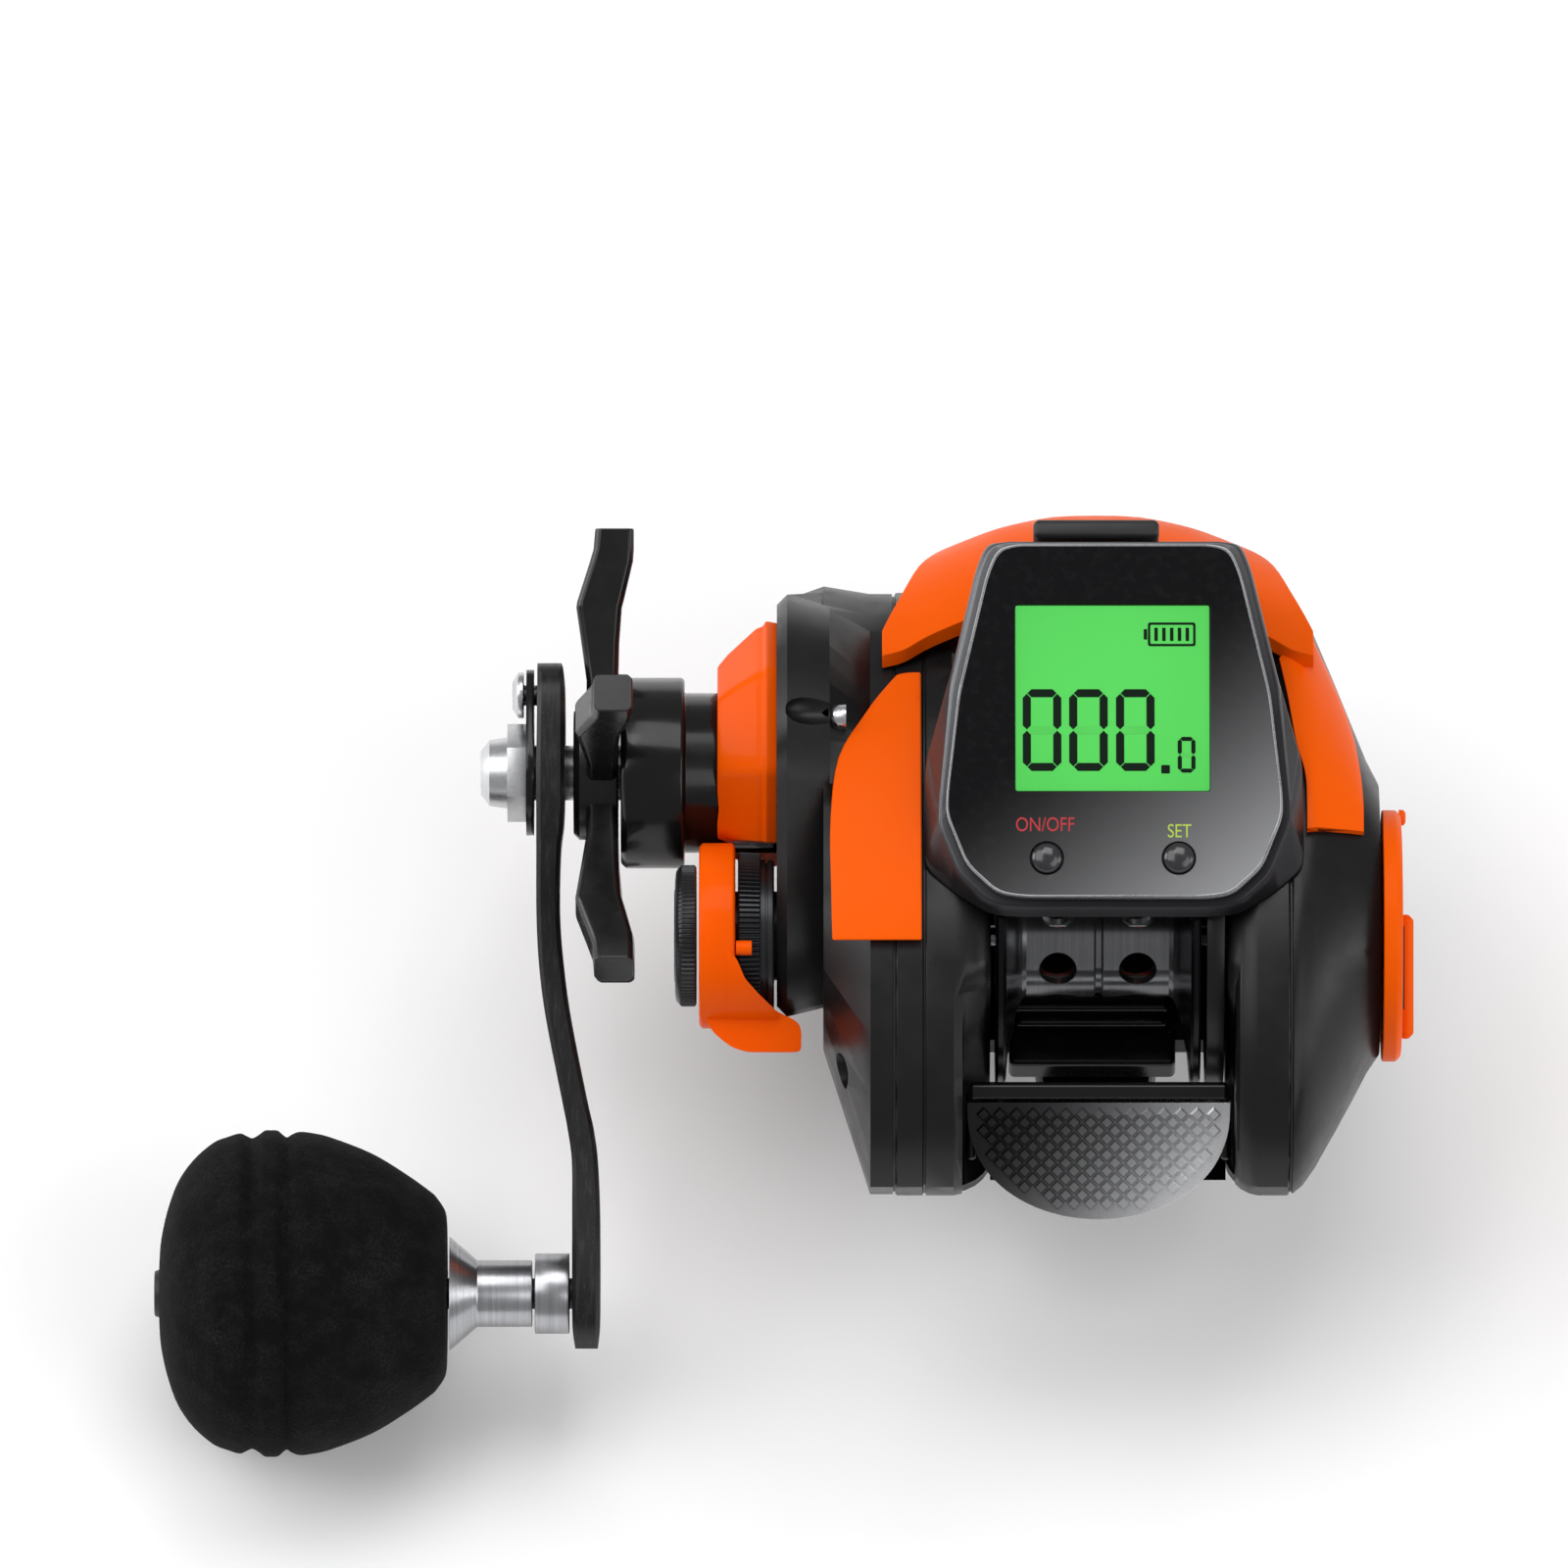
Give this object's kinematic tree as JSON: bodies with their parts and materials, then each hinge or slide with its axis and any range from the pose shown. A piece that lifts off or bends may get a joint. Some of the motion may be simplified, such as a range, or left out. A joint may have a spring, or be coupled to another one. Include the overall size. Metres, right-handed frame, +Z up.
{
  "type": "fishing reel",
  "caption": "Low-profile baitcasting fishing reel with a tilted electronic line-counter pod, star drag, single crank with round knob and orange trim.",
  "frame": {"origin": "middle of the reel foot's flat underside", "axes": "+X along the spool axis from the crank side to the palm side, +Y to the front where the line leaves, +Z up from the rod"},
  "size_m": [0.1461, 0.1053, 0.076],
  "materials": {
    "orange_paint": "satin moulded plastic",
    "orange_gloss": "glossy anodised look",
    "black_body": "satin",
    "black_gloss": "glossy",
    "charcoal": "satin grey",
    "arm_black": "black anodised",
    "foam": "closed-cell foam",
    "dark_metal": "dark anodised",
    "steel": "satin",
    "brass": "machined",
    "screen": "lit display panel",
    "board": "solder mask",
    "cell": "pouch cell foil",
    "rubber": "matte",
    "ceramic": "polished",
    "white_plastic": "acetal gear",
    "red_button": "glossy",
    "lime_button": "glossy",
    "magnet": "plated magnet",
    "fibre": "woven drag washer stack"
  },
  "bodies": {
    "body": {"frame": "black_body", "gear_side_cover": "black_body", "cover_screw": "steel", "palm_side_cover": "black_body", "front_hood": "orange_paint", "gear_side_boss": "orange_gloss", "clutch_housing": "black_gloss", "anti_reverse_bearing": "steel", "shaft_bearing": "steel", "spool_bearing_left": "steel", "spool_bearing_right": "steel", "palm_ring": "black_gloss", "cast_barrel": "dark_metal", "display_housing": "charcoal", "face_plate": "black_gloss", "lcd_panel": "screen", "circuit_board": "board", "battery": "cell", "rotation_sensor": "black_gloss", "charging_socket": "steel", "left_trim": "orange_paint", "right_trim": "orange_paint", "guide_rail": "steel", "reel_foot": "arm_black", "foot_screw_rear": "steel", "foot_screw_front": "steel"},
    "crank": {"drive_shaft": "steel", "drive_gear": "brass", "drag_washers": "fibre", "guide_drive_gear": "white_plastic", "handle_arm": "arm_black", "handle_nut": "steel", "nut_retainer": "black_gloss", "retainer_screw": "steel", "knob_spindle": "steel"},
    "knob": {"knob_grip": "foam", "knob_collar": "steel", "knob_cap": "black_body", "knob_bearing_inner": "steel", "knob_bearing_outer": "steel"},
    "star": {"star_drag": "arm_black"},
    "spool_set": {"spool": "dark_metal", "spool_shaft": "steel", "pinion_gear": "brass", "sensor_magnet": "magnet"},
    "worm": {"worm_shaft": "steel", "worm_gear": "white_plastic"},
    "guide": {"line_guide": "black_body", "guide_eye": "ceramic", "guide_pawl": "brass"},
    "thumb": {"thumb_bar": "charcoal"},
    "cast_knob": {"cast_cap": "black_body"},
    "lever": {"fall_lever": "orange_gloss"},
    "dial": {"brake_dial": "orange_paint", "brake_magnets": "magnet"},
    "power": {"power_button": "red_button"},
    "set": {"set_button": "lime_button"},
    "port": {"port_cover": "rubber"}
  },
  "joints": [
    {"name": "crank_turn", "type": "hinge", "parent": "body", "child": "crank", "pos_m": [-0.06, 0.01347, 0.02711], "axis": [1, 0, 0], "continuous": true},
    {"name": "knob_spin", "type": "hinge", "parent": "crank", "child": "knob", "pos_m": [-0.09, -0.04136, 0.00154], "axis": [1, 0, 0], "continuous": true},
    {"name": "star_turn", "type": "hinge", "parent": "crank", "child": "star", "pos_m": [-0.058, 0.01347, 0.02711], "axis": [1, 0, 0], "range_deg": [-180, 180]},
    {"name": "spool_spin", "type": "hinge", "parent": "body", "child": "spool_set", "pos_m": [0, -0.007, 0.026], "axis": [1, 0, 0], "continuous": true},
    {"name": "worm_spin", "type": "hinge", "parent": "body", "child": "worm", "pos_m": [0, 0.02835, 0.01809], "axis": [1, 0, 0], "continuous": true},
    {"name": "guide_slide", "type": "slide", "parent": "body", "child": "guide", "axis": [1, 0, 0], "range_m": [-0.0079, 0.0079]},
    {"name": "thumb_press", "type": "slide", "parent": "body", "child": "thumb", "axis": [0, 0.5878, -0.809], "range_m": [0, 0.003]},
    {"name": "cast_turn", "type": "hinge", "parent": "body", "child": "cast_knob", "pos_m": [-0.048, -0.007, 0.026], "axis": [1, 0, 0], "range_deg": [-170, 170]},
    {"name": "lever_turn", "type": "hinge", "parent": "body", "child": "lever", "pos_m": [-0.044, -0.007, 0.026], "axis": [1, 0, 0], "range_deg": [-40, 18]},
    {"name": "dial_turn", "type": "hinge", "parent": "body", "child": "dial", "pos_m": [0.034, -0.007, 0.026], "axis": [1, 0, 0], "range_deg": [-150, 150]},
    {"name": "power_press", "type": "slide", "parent": "body", "child": "power", "axis": [0, 0.2588, -0.9659], "range_m": [0, 0.0005], "stiffness_N_per_m": 300},
    {"name": "set_press", "type": "slide", "parent": "body", "child": "set", "axis": [0, 0.2588, -0.9659], "range_m": [0, 0.0005], "stiffness_N_per_m": 300},
    {"name": "port_open", "type": "hinge", "parent": "body", "child": "port", "pos_m": [-0.0003, 0.03014, 0.05263], "axis": [-1, 0, 0], "range_deg": [0, 100]}
  ],
  "couplings": [
    {"joint": "spool_spin", "follows": "crank_turn", "ratio": -6.4545},
    {"joint": "worm_spin", "follows": "crank_turn", "ratio": -2.625}
  ]
}
